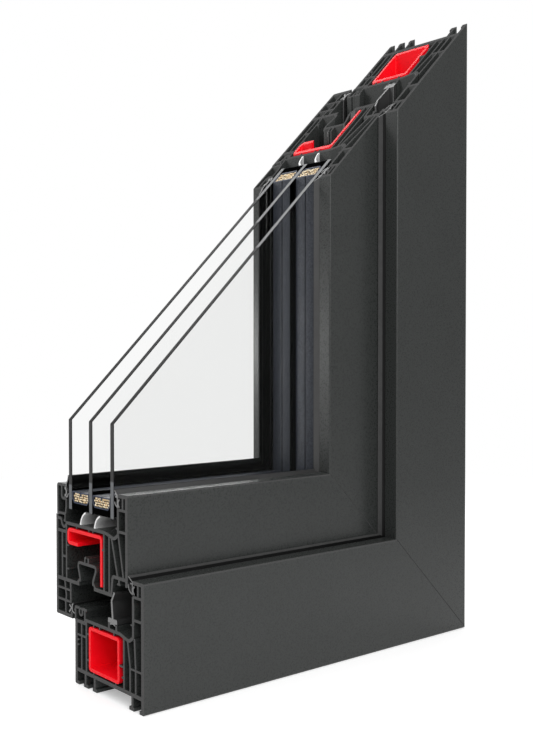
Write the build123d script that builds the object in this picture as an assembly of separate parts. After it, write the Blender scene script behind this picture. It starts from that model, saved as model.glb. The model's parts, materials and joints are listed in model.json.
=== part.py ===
from build123d import *
import os

# A cut-away corner of a triple-glazed plastic window, in millimetres.
# A rail along the bottom meets a jamb at a mitre. The rail is cut square at its left end,
# and the jamb and the glass are cut by a plane that rises at 45 degrees from there.
# Every section is drawn once, as depth (from the frame's outside face towards the room)
# against height (from the feet of the frame), and serves the rail and the jamb alike.

# The sample
sample_width = 281.0           # from the square cut to the outer corner
cut_height = 162.5             # where the sloping cut starts above the feet

# Glass unit
pane_thickness = 4.0
cavity = 20.5                  # between two panes
edge_cover = 15.5              # how far the profile stands up over the glass edge
edge_gap = 8.0                 # under the glass edge
spacer_sight = 11.8            # from the glass edge to the spacer's inner face
spacer_height = 7.3
spacer_wall = 1.0
spacer_bevel = 2.4
seal_inset = 0.6               # the edge sealant stops short of the glass edge

# Gaps that the gaskets close
frame_gasket_gap = 4.5         # frame leg to sash face
glass_gasket_gap = 3.3         # sash leg to glass
bead_gasket_gap = 3.0          # glass to bead

# Outer frame
foot_height = 7.9
foot_pad = 2.0
foot_stem = 2.1
second_foot_depth = 11.1
third_foot_depth = 52.9
frame_face_wall = 2.8
frame_room_wall = 2.6
body_floor = 2.3
steel_room_height = 30.0
rebate_wall = 2.0
frame_leg_height = 32.3
frame_leg_depth = 12.2
leg_wall = 2.3
inner_web = 1.6
leg_top_wall = 2.2
leg_web_height = 9.2           # rebate to the web across the leg
leg_upright_depth = 5.3        # outside face to the upright in the leg's top
leg_nib_height = 6.2           # rebate to the nib on the leg
nib = 1.0
nib_reach = 1.5
outer_web_depth = 8.6
outer_web_lean = 1.2           # how far its top leans towards the room
second_web_depth = 14.4
second_web_lean = 2.7
steel_wall_depth = 21.8        # outside face to the steel chamber
room_chamber_depth = 14.3      # room face to the steel chamber
room_chamber_wall = 1.8
room_web_depth = 7.7           # room face to the web between the two room chambers
floor_bar_height = 13.4        # bar across the outer chambers, above the body's floor
upstand_height = 6.0
upstand_wall = 1.7
upstand_overhang = 0.5
upstand_depth = 14.0
upstand_web_inset = 1.0        # outdoor side of the upstand to the wall under it
screw_ring = 2.7               # radius of the screw channel
screw_slot = 1.9               # width of the slot through it
screw_slot_length = 1.2        # between the centres of the slot's round ends
room_bar_height = 19.9         # web across the room chambers, above the body's floor
room_bar = 1.3
gasket_rail_height = 3.4
centre_gasket_depth = 16.6     # outside face of the sash to the centre gasket
centre_gasket_span = 8.3

# Sash
sash_lift = 18.8               # rebate of the frame to the underside of the sash
sash_body_height = 37.7
sash_face_wall = 2.5
sash_room_wall = 2.3
sash_leg_depth = 11.3
sash_web = 1.7
sash_leg_web_height = 0.9      # glazing rebate to the web across the leg
sash_leg_upright_depth = 4.5   # outside face of the sash to the upright in the leg's top
sash_leg_nib_height = 2.7      # glazing rebate to the nib on the leg
step_depth = 16.0              # outside face of the sash to the turn of the step's wall
step_rise = 3.0                # tip of the outside leg to the step's underside
hook_depth = 8.5               # outside face of the sash to the stem of the step's hook
chamber_web_depth = 19.4       # outside face of the sash to the upright web
outer_lap = 5.2                # sash leg below the top of the frame leg
inner_lap = 9.2                # sash overlap below the top of the upstand
overlap_depth = 23.5           # overlap past the room face of the frame
overlap_gap = 2.9              # upstand to the overlap lip
overlap_web_height = 10.6      # from the overlap's edge to the groove of its gasket
overlap_wall = 2.3
overlap_lip_height = 4.0
overlap_web = 1.4
overlap_inset = 1.2            # the overlap's wall stands behind its lip by this
overlap_upright_depth = 8.3    # the lip to the curved upright
second_overlap_web = 16.4      # from the overlap's edge
sash_floor_wall = 2.2
sash_steel_wall_depth = 26.8   # outside face of the sash to the steel chamber
sash_room_chamber = 13.7       # room face to the steel chamber
sash_room_web = 7.6
groove_mouth = 13.6            # hardware groove between its lips
groove_room_bulge = 3.0        # the groove is wider than its mouth by this on the room side
groove_out_bulge = 4.2         # and by this on the outdoor side
groove_height = 10.0
groove_lip = 2.2
groove_inset = 30.5            # room face to the near lip
groove_wall = 1.8
rail_screw_height = 4.1        # the two ribs of the screw channel over the groove
bead_depth = 12.1
bead_setback = 1.1             # the bead's face behind the sash's room face
bead_wall = 1.8
bead_foot = 3.6                # the bead stands this far above the glazing rebate
bead_seam = 0.3                # sash wall to the bead above it
bead_ledge = 1.0               # glazing rebate to the middle of the ledge under the bead
trough_depth = 7.6             # glazing rebate to the web under the bead's trough
bead_web_depth = 5.9           # room face of the bead to the web that hangs from its top
bead_channel = 8.4             # the gasket's channel, below the middle of the bead's top wall
bead_top_gap = 0.2             # the bead's top below the top of the sash

# Steel
steel_wall = 2.1
steel_corner = 2.4
steel_bend = 2.2               # radius of the sash steel's bends
steel_flange = 8.2             # depth of the sash steel's short flange under its top
steel_rest = 1.5               # floor of the sash to the lower edge of its steel
steel_nib = 1.5                # ribs that keep the steel off the plastic
steel_play = 0.3
frame_steel_side_rib = 4.2
frame_steel_room_rib = 2.1
rib = 1.0                      # thickness of the short ribs
floor_nib = 1.1
room_rib_heights = (6.8, 22.5)             # above the body's floor
curl_heights = (14.0, 17.1)
top_rib_depths = (31.3, 47.5, 54.3)
floor_rib_depths = (29.5, 54.3)
sash_top_rib_depths = (54.9, 59.6, 74.6)
sash_room_rib_heights = (7.8, 22.4)        # above the underside of the sash
sash_side_rib_height = 25.5

# Gaskets
lip = 0.9
seat = 0.2                     # a lip stops this far from what it seals against
back = 1.1                     # thickness of a gasket's back and of its barbs
leg_top_gap = 0.1              # gasket's back to the wall beside it
gasket_groove = 8.4            # groove in a leg, below the leg's top
frame_gasket_rise = 3.4        # how far a gasket's lower lip runs up the face that it seals
glass_gasket_rise = 1.2
bead_gasket_rise = 5.4         # the bead gasket's lip above the top of the sash
saddle_height = 2.9            # centre gasket, above its two rails
saddle_reach = 0.8             # and past them
centre_lip_knee = 10.2         # saddle to the knee of the tall lip
centre_lip_tip = 15.0          # saddle to its tip
fin_sweep = 6.0
fin_wall = 1.1
outer_fin_depth = 36.6         # outside face of the sash to the foot of a fin
inner_fin_depth = 53.3

# Edges and welds
eased_edge = 1.0               # radius on the long edges of the profiles
soft_edge = 1.8                # and on the rounder edges of the bead and the upstand
weld_half = 0.45               # half the width of the shallow V along each weld
weld_depth = 0.4

# Depths that follow
glass_depth = 3 * pane_thickness + 2 * cavity
sash_depth = (sash_leg_depth + glass_gasket_gap + glass_depth
              + bead_gasket_gap + bead_depth)
sash_out = frame_leg_depth + frame_gasket_gap
bead_face = sash_out + sash_depth
sash_room = bead_face + bead_setback
frame_depth = sash_room - overlap_depth
sash_leg_in = sash_out + sash_leg_depth
glass_out = sash_leg_in + glass_gasket_gap
glass_room = glass_out + glass_depth
bead_in = glass_room + bead_gasket_gap
frame_steel_out = steel_wall_depth
frame_steel_room = frame_depth - room_chamber_depth
upstand_room = frame_depth + upstand_overhang
upstand_in = upstand_room - upstand_depth
overlap_in = upstand_room + overlap_gap
sash_steel_out = sash_out + sash_steel_wall_depth
sash_steel_room = sash_room - sash_room_chamber
groove_room = sash_room - groove_inset
groove_out = groove_room - groove_mouth

# Heights that follow
chamber_floor = foot_height + body_floor
chamber_top = chamber_floor + steel_room_height
rebate = chamber_top + rebate_wall
frame_top = rebate + frame_leg_height
upstand_top = rebate + upstand_height
sash_under = rebate + sash_lift
sash_floor_top = sash_under + sash_floor_wall
glazing_floor = sash_under + sash_body_height
sash_leg_tip = frame_top - outer_lap
glass_edge = glazing_floor + edge_gap
sash_top = glass_edge + edge_cover
overlap_edge = upstand_top - inner_lap
groove_top = sash_under + 2 * groove_lip + groove_height
step_floor = sash_leg_tip + step_rise


def bar(depth_a, depth_b, height_a, height_b):
    """A straight wall of the section, between two depths and two heights."""
    middle = ((depth_a + depth_b) / 2, (height_a + height_b) / 2)
    return Pos(*middle) * Rectangle(abs(depth_b - depth_a), abs(height_b - height_a))


def wall(thickness, *points, bend=None):
    """A wall of even thickness along its centre line, with one bend radius or one a corner."""
    path = FilletPolyline(*points, radius=bend) if bend else Polyline(*points)
    return trace(path, line_width=thickness)


def curved_wall(thickness, start, middle, end):
    """A curved wall of even thickness along an arc through three points."""
    return trace(ThreePointArc(start, middle, end), line_width=thickness)


def joined(*pieces):
    return Sketch() + list(pieces)


def eased(section, radius, *corners):
    """The section with the corner nearest to each of these points rounded."""
    for corner in corners:
        nearest = section.vertices().sort_by_distance(Vector(*corner))[0]
        section = fillet(nearest, radius)
    return section


def rebate_curve(leg_centre, floor_centre, start, leg_top):
    """The wall of a rebate, which dips before it turns up into the outside leg."""
    return wall(rebate_wall, (start, floor_centre), (leg_centre + 14.0, floor_centre),
                (leg_centre + 4.4, floor_centre - 2.3), (leg_centre, floor_centre + 0.6),
                (leg_centre, leg_top), bend=[8, 4, 2.4])


def frame_section():
    """The outer frame: feet, five rows of chambers, the outside leg and the upstand."""
    feet = []
    for stem, pad in frame_feet():
        feet.append(bar(*stem, 0, foot_height))
        feet.append(bar(*pad, 0, foot_pad))
    bar_height = chamber_floor + floor_bar_height
    outside = [
        bar(0, frame_face_wall, 0, frame_top),
        bar(0, frame_depth, foot_height, chamber_floor),
        wall(inner_web, (outer_web_depth, chamber_floor - 1), (outer_web_depth, bar_height + 1),
             (outer_web_depth + outer_web_lean, rebate - 0.5)),
        wall(inner_web, (second_web_depth, chamber_floor - 1), (second_web_depth, bar_height + 1),
             (second_web_depth + second_web_lean, rebate - 3)),
        bar(frame_steel_out - inner_web, frame_steel_out, foot_height, rebate - 2.2),
        bar(1, second_web_depth, bar_height - 0.6, bar_height + 0.6),
    ]
    leg_in = frame_leg_depth
    groove_floor = frame_top - gasket_groove
    leg = [
        rebate_curve(leg_in - rebate_wall / 2, rebate - rebate_wall / 2, frame_steel_room,
                     groove_floor - inner_web / 2),
        bar(leg_in - leg_wall, leg_in, rebate + leg_nib_height + 0.8, groove_floor - 4.5),
        bar(1, leg_in - 0.9, groove_floor - inner_web, groove_floor),
        bar(1, leg_in - 1, rebate + leg_web_height, rebate + leg_web_height + inner_web),
        bar(leg_upright_depth, leg_upright_depth + inner_web, groove_floor - 1, frame_top - 1),
        bar(0, leg_in - back - leg_top_gap, frame_top - leg_top_wall, frame_top),
        bar(leg_in - 0.5, leg_in + nib_reach, rebate + leg_nib_height,
            rebate + leg_nib_height + nib),
    ]
    bars = chamber_floor + room_bar_height
    room = [
        bar(frame_depth - frame_room_wall, frame_depth, 0, chamber_top),
        bar(frame_steel_room, frame_steel_room + room_chamber_wall, foot_height, rebate),
        bar(frame_depth - room_web_depth - inner_web / 2,
            frame_depth - room_web_depth + inner_web / 2, foot_height, chamber_top - 1),
        bar(frame_steel_room, frame_depth, chamber_top - 2.2, chamber_top),
        bar(frame_steel_room, frame_depth - 1, bars, bars + room_bar),
        bar(frame_steel_room - 1, upstand_in + 2, chamber_top, rebate),
    ]
    section = joined(*feet, *outside, *leg, *room, *upstand(), *frame_ribs(),
                     *centre_gasket_rails())
    section = eased(section, eased_edge, (0, frame_top), (frame_depth, 0), (0, 0))
    return eased(section, soft_edge, (upstand_room, upstand_top))


def frame_feet():
    """Depths of each foot's stem and of its pad, which reaches past it on both sides."""
    face = frame_depth - frame_room_wall
    feet = [((0, frame_face_wall), (0, 4.7)), ((face, frame_depth), (face - 2.3, frame_depth))]
    for depth, before, past in ((second_foot_depth, 0.9, 2.2), (third_foot_depth, 1.6, 1.2),
                                (frame_steel_room + 1.0, 2.2, 1.0)):
        far = depth + foot_stem
        feet.append(((depth, far), (depth - before, far + past)))
    return feet


def upstand():
    """The raised step that the sash overlap closes on, with its screw channel."""
    middle = (upstand_in + upstand_room) / 2 - 0.5
    top = upstand_top - upstand_wall
    web = upstand_in + upstand_web_inset
    slot = SlotCenterToCenter(screw_slot_length, screw_slot, rotation=90)
    nib_foot = upstand_top - 3.4
    return [
        bar(upstand_room - upstand_wall, upstand_room, chamber_top - 1, upstand_top),
        bar(web, web + upstand_wall, chamber_top - 1, upstand_top),
        bar(upstand_in - 0.6, middle - 1.6, top, upstand_top),
        bar(middle + 1.6, upstand_room, top, upstand_top),
        bar(frame_depth - 1, upstand_room, chamber_top - 1, chamber_top),
        bar(upstand_room - 0.5, upstand_room + 0.9, nib_foot, nib_foot + 0.8),
        Pos(middle, top - 1.3) * (Circle(screw_ring) - slot),
    ]


def upstand():
    """The raised step that the sash overlap closes on, with its screw channel."""
    middle = (upstand_in + upstand_room) / 2 - 0.5
    top = upstand_top - upstand_wall
    channel = Pos(middle, top - 1.3) * (Circle(2.7) - SlotCenterToCenter(1.2, 1.9, rotation=90))
    return [
        bar(upstand_room - upstand_wall, upstand_room, chamber_top - 1, upstand_top),
        bar(upstand_in + 1.0, upstand_in + 1.0 + upstand_wall, chamber_top - 1, upstand_top),
        bar(upstand_in - 0.6, middle - 1.6, top, upstand_top),
        bar(middle + 1.6, upstand_room, top, upstand_top),
        bar(frame_depth - 1, upstand_room, chamber_top - 1, chamber_top),
        bar(upstand_room - 0.5, upstand_room + 0.9, upstand_top - 3.4, upstand_top - 2.6),
        channel,
    ]


def frame_ribs():
    """Short ribs that hold the steel clear of the chamber walls, and two on the room wall."""
    top, floor = chamber_top, chamber_floor
    room, out = frame_steel_room, frame_steel_out
    face = frame_depth - frame_room_wall
    ribs = [bar(room - frame_steel_room_rib, room + 0.5, floor + h, floor + h + rib)
            for h in room_rib_heights]
    ribs.append(bar(out - 0.5, out + frame_steel_side_rib, floor + 12.0, floor + 12.0 + rib))
    ribs.append(bar(out - 0.5, out + steel_nib, floor + 5.7, floor + 5.7 + rib))
    ribs += [bar(d, d + rib, top - steel_nib, top + 0.5) for d in top_rib_depths]
    ribs += [bar(d, d + rib, floor - 0.5, floor + floor_nib) for d in floor_rib_depths]
    ribs += [wall(rib, (face + 0.5, floor + h), (face - 2.2, floor + h + 0.6))
             for h in curl_heights]
    return ribs


def centre_line():
    """Depth of the centre gasket."""
    return sash_out + centre_gasket_depth


def centre_gasket_rails():
    near = centre_line() - centre_gasket_span / 2
    far = centre_line() + centre_gasket_span / 2
    return [
        bar(near - 0.9, near + 1.0, rebate - 1, rebate + gasket_rail_height - 0.4),
        bar(far - 1.0, far + 0.9, rebate - 1, rebate + gasket_rail_height - 0.1),
    ]


def sash_section():
    """The sash: outside leg, glazing rebate, steel chamber, hardware groove and overlap."""
    leg_in = sash_leg_in
    floor_centre = glazing_floor - rebate_wall / 2
    groove_floor = sash_top - gasket_groove
    step_in = sash_out + step_depth
    step_wall = leg_wall - 0.2
    step_centre = step_floor + step_wall / 2
    hook = sash_out + hook_depth
    upright = sash_out + chamber_web_depth
    outside = [
        bar(sash_out, sash_out + sash_face_wall, sash_leg_tip, sash_top),
        wall(step_wall, (sash_out + 1, step_centre), (step_in + 0.4, step_centre),
             (step_in + 2.1, sash_under + 0.6), bend=2.0),
        bar(hook, hook + inner_web, step_floor - 2, step_floor + 0.5),
        bar(hook - 0.6, hook + 2.9, step_floor - 3.1, step_floor - 2),
        wall(inner_web, (sash_out + 10.7, step_floor + 1), (sash_out + 17.6, floor_centre - 1.6)),
        wall(inner_web, (sash_out + 4.4, step_floor + 1), (sash_out + 10.1, floor_centre + 1)),
        bar(step_in + 1.2, groove_out - 2.0, sash_under, sash_floor_top),
        bar(upright, upright + inner_web, sash_under + 1, floor_centre - 1),
        bar(sash_steel_out - inner_web, sash_steel_out, sash_under + 1, floor_centre),
    ]
    leg_web = glazing_floor + sash_leg_web_height
    leg_upright = sash_out + sash_leg_upright_depth
    leg_nib = glazing_floor + sash_leg_nib_height
    glazing = [
        rebate_curve(leg_in - rebate_wall / 2, floor_centre, sash_steel_room + 1,
                     groove_floor - inner_web / 2),
        bar(sash_out + 1, leg_in - 0.1, groove_floor - inner_web, groove_floor),
        bar(sash_out + 1, leg_in - 1, leg_web, leg_web + inner_web),
        bar(leg_upright, leg_upright + inner_web, groove_floor - 1, sash_top - 1),
        bar(sash_out, leg_in - back - leg_top_gap, sash_top - leg_top_wall, sash_top),
        bar(leg_in - 0.5, leg_in + nib_reach, leg_nib, leg_nib + nib),
    ]
    near = sash_steel_room
    middle = sash_room - sash_room_web
    shelf = groove_top + 0.3
    under_bead = glazing_floor - trough_depth
    ledge = glazing_floor + bead_ledge
    room = [
        bar(sash_room - sash_room_wall, sash_room, overlap_edge,
            glazing_floor + bead_foot - bead_seam),
        bar(near, near + sash_web, sash_under + 1, glazing_floor),
        bar(middle - inner_web / 2, middle + inner_web / 2, sash_under + 1, under_bead + 1),
        bar(near, middle, shelf, shelf + sash_web - 0.2),
        bar(near, sash_room - 1, under_bead, under_bead + 2.0),
        wall(bead_wall, (near + 0.9, glazing_floor - 2), (near + 3.4, glazing_floor - 3.9),
             (near + 5.9, glazing_floor - 3.2), (near + 7.6, ledge), (sash_room - 1, ledge),
             bend=[1.2, 1.8, 1.2]),
    ]
    section = joined(*outside, *glazing, *room, *hardware_groove(), *overlap(), *sash_ribs())
    return eased(section, eased_edge, (sash_out, sash_top), (sash_out, sash_leg_tip),
                 (sash_room, overlap_edge))


def hardware_groove():
    """The groove for the fittings: two ledges with lips, a chamber and a screw channel."""
    top = groove_top
    low = sash_under + groove_lip
    half = groove_wall / 2
    room_lip = groove_room + half
    out_lip = groove_out - half
    room_in = groove_room + groove_room_bulge
    out_in = groove_out - groove_out_bulge
    channel = (groove_room + groove_out) / 2
    rib_top = top + rail_screw_height
    return [
        bar(groove_room + 1.9, sash_room - 1, sash_under, low),
        wall(groove_wall, (room_lip, low + 0.6), (room_lip, low + 3.0), (room_in, top - 3.0),
             (room_in, top), (out_in, top), (out_in, top - 2.6), (out_lip, low + 3.0),
             (out_lip, low + 0.6), bend=[3, 3, 2, 1.8, 3, 3]),
        wall(inner_web, (room_lip + 0.3, low + 1.9), (room_lip + 3.6, low - 1.0)),
        wall(inner_web, (out_lip - 0.3, low + 1.9), (out_lip - 3.0, low - 1.0)),
        wall(1.5, (channel + 1.8, top), (channel + 1.8, rib_top - 0.7), (channel + 0.2, rib_top),
             bend=0.8),
        bar(channel - 2.9, channel - 1.4, top, rib_top),
    ]


def overlap():
    """The overlap on the room side, with the groove that holds its gasket."""
    edge = overlap_edge
    groove = edge + overlap_web_height
    second = edge + second_overlap_web
    face = overlap_in + overlap_inset
    inner = overlap_in + overlap_upright_depth
    return [
        bar(overlap_in, sash_room, edge, edge + overlap_wall),
        bar(overlap_in, overlap_in + 2.2, edge, edge + overlap_lip_height),
        bar(face, sash_room - 1, groove - overlap_web, groove),
        bar(face + 1.4, sash_room - 1, second, second + overlap_web),
        bar(face, face + 1.9, groove - 1, sash_under + 1),
        bar(face, sash_room - 1, sash_under, sash_under + groove_lip),
        wall(inner_web, (inner + 1.4, sash_under + 1), (inner - 0.7, groove + 2.6),
             (inner + 0.2, groove - 2.4), (inner, edge + 1), bend=[3, 3]),
    ]


def sash_ribs():
    top = glazing_floor - rebate_wall
    ribs = [bar(d, d + rib, top - steel_nib + 0.3, top + 0.5) for d in sash_top_rib_depths]
    ribs += [bar(sash_steel_room - 2.4, sash_steel_room + 0.5, sash_under + h,
                 sash_under + h + rib) for h in sash_room_rib_heights]
    ribs.append(bar(sash_steel_out - 0.5, sash_steel_out + 1.3, sash_under + sash_side_rib_height,
                    sash_under + sash_side_rib_height + rib))
    return ribs


def bead_section():
    """The glazing bead, a hollow strip clipped into the sash on the room side."""
    half = bead_wall / 2
    top = sash_top - bead_top_gap - half
    low = glazing_floor + bead_foot
    foot = low + inner_web / 2
    face = bead_face - half
    near = bead_in + 0.5
    web = bead_face - bead_web_depth
    channel = top - bead_channel
    return joined(
        wall(bead_wall, (face, low), (face, top), (near + 0.5, top), bend=soft_edge - 0.5),
        wall(bead_wall, (web, top), (web, channel), (near, channel), bend=2.0),
        wall(inner_web, (near, channel), (near, channel - 4.9), (near + 1.0, foot), (face, foot),
             bend=[6, 1.5]),
        bar(near + 0.9, near + 2.3, glazing_floor - 0.8, foot),
        bar(near + 1.6, near + 3.1, glazing_floor - 0.3, glazing_floor + 0.7),
    )


def frame_steel_section():
    low = chamber_floor + 1.1
    high = chamber_top - steel_nib - steel_play
    out = frame_steel_out + frame_steel_side_rib
    room = frame_steel_room - frame_steel_room_rib
    outer = RectangleRounded(room - out, high - low, steel_corner)
    inner = RectangleRounded(room - out - 2 * steel_wall, high - low - 2 * steel_wall,
                             steel_corner - steel_wall + 0.4)
    return Pos((out + room) / 2, (low + high) / 2) * (outer - inner)


def sash_steel_section():
    """A bent steel strip that lies over the hardware groove."""
    half = steel_wall / 2
    top = glazing_floor - rebate_wall - steel_nib - half - 0.1
    room = sash_steel_room - 0.4 - half
    out = sash_steel_out + 1.4 + half
    flange = top - steel_flange
    return wall(steel_wall, (groove_room + 3.5, flange), (room, flange), (room, top),
                (out, top), (out, sash_floor_top + steel_rest), bend=steel_bend)


def pressed_gasket(inner_face, leg_top, gap, rise):
    """A gasket clipped into a leg: a thin back, a barb each way and three lips."""
    middle = leg_top - 5.4
    front = inner_face + 0.1
    reach = inner_face + gap - seat - lip / 2
    body = [
        bar(front - back, front, middle - 2.8, middle + 5.1),
        curved_wall(back, (inner_face - 2.7, middle + 2.3), (inner_face - 1.2, middle),
                    (inner_face - 2.7, middle - 2.3)),
        wall(lip, (front - 0.5, middle + 4.7), (reach + 0.1, middle + 7.3)),
        bar(front - 0.2, inner_face + 1.9, middle + 3.1, middle + 3.1 + lip),
        curved_wall(lip, (front - 0.4, middle - 2.1), (inner_face + gap * 0.55, middle - 0.8),
                    (reach, middle - 0.6 + rise)),
    ]
    return joined(*body)


def frame_gasket_section():
    return pressed_gasket(frame_leg_depth, frame_top, frame_gasket_gap, frame_gasket_rise)


def glass_gasket_section():
    return pressed_gasket(sash_leg_in, sash_top, glass_gasket_gap, glass_gasket_rise)


def bead_gasket_section():
    """The gasket in the channel of the bead, with a lip up the glass and a folded lip below."""
    top = sash_top
    face = glass_room + seat + lip / 2
    root = bead_in + 0.6
    return joined(
        curved_wall(1.5, (root + 1.8, top - 2.9), (root - 0.5, top - 5.3),
                    (root + 1.8, top - 7.6)),
        wall(lip, (root, top - 3.2), (root - 0.3, top - 0.3), (face + 0.7, top + 2.6),
             (face, top + bead_gasket_rise), bend=[1.2, 3]),
        wall(lip, (root + 0.3, top - 7.0), (root - 0.7, top - 8.6), (face + 1.3, top - 8.0),
             (face, top - 5.8), bend=[0.6, 1.2]),
    )


def overlap_gasket_section():
    """The gasket in the overlap, with two lips that reach out towards the upstand."""
    edge = overlap_edge
    front = overlap_in - 0.2
    return joined(
        bar(front, front + back, edge + 4.3, edge + 9.0),
        wall(back, (front + 4.0, edge + 8.2), (front + 0.5, edge + 6.1)),
        wall(back, (front + 1.3, edge + 6.5), (front + 4.3, edge + 3.4)),
        wall(lip, (front + 0.7, edge + 7.4), (front - 0.6, edge + 9.8)),
        wall(lip, (front + 0.8, edge + 5.0), (upstand_room + seat + 0.2, edge + 3.8)),
    )


def centre_gasket_section():
    """The middle gasket: a saddle on two rails and a tall lip that leans on the sash."""
    line = centre_line()
    rail_top = rebate + gasket_rail_height
    half = centre_gasket_span / 2
    head = rail_top + saddle_height
    left = line - half - saddle_reach
    right = line + half + saddle_reach
    tip = (line - 1.8, head + centre_lip_tip)
    saddle = eased(bar(left, right, rail_top, head), soft_edge / 2, (left, head), (right, head))
    return joined(
        saddle,
        curved_wall(1.0, (line - half + 1.4, rail_top - 0.9), (line, rail_top - 0.1),
                    (line + half - 1.4, rail_top - 0.9)),
        wall(2 * lip, (line - 0.2, head - 0.5), (line + 0.9, head + centre_lip_knee - 0.6)),
        wall(1.4, (line + 0.7, head + 8.0), (line + 1.0, head + centre_lip_knee), tip, bend=1.5),
        Pos(*tip) * Circle(lip),
    )


def fin_section(foot_depth):
    """A curved fin that stands on the glazing rebate under the glass."""
    low = glazing_floor
    high = glass_edge + seal_inset - seat
    tip = (foot_depth - fin_sweep, high - fin_wall / 2)
    middle = (foot_depth - fin_sweep * 0.34, low + (high - low) * 0.6)
    foot = bar(foot_depth - 1.0, foot_depth + 0.8, low, low + 0.9)
    return foot + (curved_wall(fin_wall, (foot_depth, low), middle, tip)
                   - bar(foot_depth - 4, foot_depth + 4, low - 4, low))


def spacer_section(near):
    """The hollow spacer between two panes."""
    far = near + cavity
    high = glass_edge + spacer_sight
    low = high - spacer_height

    def shape(inset):
        return make_face(Polyline(
            (near + inset, high - inset),
            (near + inset, low + spacer_bevel),
            (near + inset + spacer_bevel, low + inset),
            (far - inset - spacer_bevel, low + inset),
            (far - inset, low + spacer_bevel),
            (far - inset, high - inset), close=True))
    return shape(0) - shape(spacer_wall)


def desiccant_section(near):
    """The drying beads fill the spacer, as one solid."""
    far = near + cavity
    high = glass_edge + spacer_sight - spacer_wall
    low = high - spacer_height + 2 * spacer_wall
    return make_face(Polyline(
        (near + spacer_wall, high),
        (near + spacer_wall, low - spacer_wall + spacer_bevel),
        (near + spacer_wall + spacer_bevel, low),
        (far - spacer_wall - spacer_bevel, low),
        (far - spacer_wall, low - spacer_wall + spacer_bevel),
        (far - spacer_wall, high), close=True))


def sealant_section(near):
    """The edge sealant under a spacer, which fills its bevelled corners."""
    far = near + cavity
    low = glass_edge + seal_inset
    high = glass_edge + spacer_sight - spacer_height
    return make_face(Polyline(
        (near, low), (far, low),
        (far, high + spacer_bevel), (far - spacer_bevel, high),
        (near + spacer_bevel, high), (near, high + spacer_bevel), close=True))


mitre = Plane(origin=(sample_width, 0, 0), x_dir=(0, 1, 0), z_dir=(1, 0, 1))
slope = Plane(origin=(0, 0, cut_height), x_dir=(0, 1, 0), z_dir=(-1, 0, 1))
rail_plane = Plane.YZ
jamb_plane = Plane(origin=(sample_width, 0, 0), x_dir=(0, 1, 0), z_dir=(0, 0, 1))
foot_centre = Pos(-sample_width / 2, -sash_room / 2, 0)


def rail(section):
    """The section run along the bottom, up to the mitre."""
    length = extrude(rail_plane * section, sample_width + 10)
    return split(length, bisect_by=mitre, keep=Keep.BOTTOM)


def jamb(section):
    """The same section run up the side, from the mitre to the sloping cut."""
    length = extrude(jamb_plane * section, sample_width + cut_height + 10)
    length = split(length, bisect_by=mitre, keep=Keep.TOP)
    return split(length, bisect_by=slope, keep=Keep.BOTTOM)


def pane(near):
    """A pane of glass, from its two edges to the square and sloping cuts."""
    side = sample_width - glass_edge
    outline = Polyline((0, glass_edge), (side, glass_edge), (side, cut_height + side),
                       (0, cut_height), close=True)
    sheet = extrude(Plane.XZ * make_face(outline), pane_thickness)
    return Pos(0, near + pane_thickness, 0) * sheet


sections = {
    "frame": frame_section(),
    "frame_steel": frame_steel_section(),
    "frame_gasket": frame_gasket_section(),
    "centre_gasket": centre_gasket_section(),
    "sash": sash_section(),
    "sash_steel": sash_steel_section(),
    "overlap_gasket": overlap_gasket_section(),
    "glass_gasket": glass_gasket_section(),
    "bead": bead_section(),
    "bead_gasket": bead_gasket_section(),
    "outer_fin": fin_section(sash_out + outer_fin_depth),
    "inner_fin": fin_section(sash_out + inner_fin_depth),
    "outer_spacer": spacer_section(glass_out + pane_thickness),
    "inner_spacer": spacer_section(glass_out + 2 * pane_thickness + cavity),
    "outer_desiccant": desiccant_section(glass_out + pane_thickness),
    "inner_desiccant": desiccant_section(glass_out + 2 * pane_thickness + cavity),
    "outer_sealant": sealant_section(glass_out + pane_thickness),
    "inner_sealant": sealant_section(glass_out + 2 * pane_thickness + cavity),
}

def weld_groove(depth, low, high, inwards):
    """The shallow V along the mitre of a visible face, between two heights of the section."""
    line = Plane(origin=(sample_width - low, depth, low), x_dir=(1, 0, 1), z_dir=(-1, 0, 1))
    notch = make_face(Polyline((-weld_half, -0.1 * inwards), (weld_half, -0.1 * inwards),
                               (0, weld_depth * inwards), close=True))
    return extrude(line * notch, (high - low) * 2 ** 0.5)


# Where each welded profile has its grooves: depth, lowest height, highest height, way in
welds = {
    "frame": [(0, -1, frame_top + 1, 1), (frame_depth, -1, chamber_top - 3, -1)],
    "sash": [(sash_out, frame_top - 1, sash_top + 1, 1),
             (sash_room, overlap_edge - 1, glazing_floor + bead_foot, -1)],
}

nodes = {}
for name, section in sections.items():
    nodes[name + "_rail"] = rail(section)
    nodes[name + "_jamb"] = jamb(section)
for name, grooves in welds.items():
    for groove in grooves:
        for run in ("_rail", "_jamb"):
            nodes[name + run] = nodes[name + run] - weld_groove(*groove)
for place, name in enumerate(("outer_pane", "middle_pane", "inner_pane")):
    nodes[name] = pane(glass_out + place * (pane_thickness + cavity))

os.makedirs("parts", exist_ok=True)
for name, solid in nodes.items():
    export_step(foot_centre * solid, "parts/" + name + ".step")
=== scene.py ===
import json
import math
import random

import bpy
from mathutils import Matrix, Vector


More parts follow.
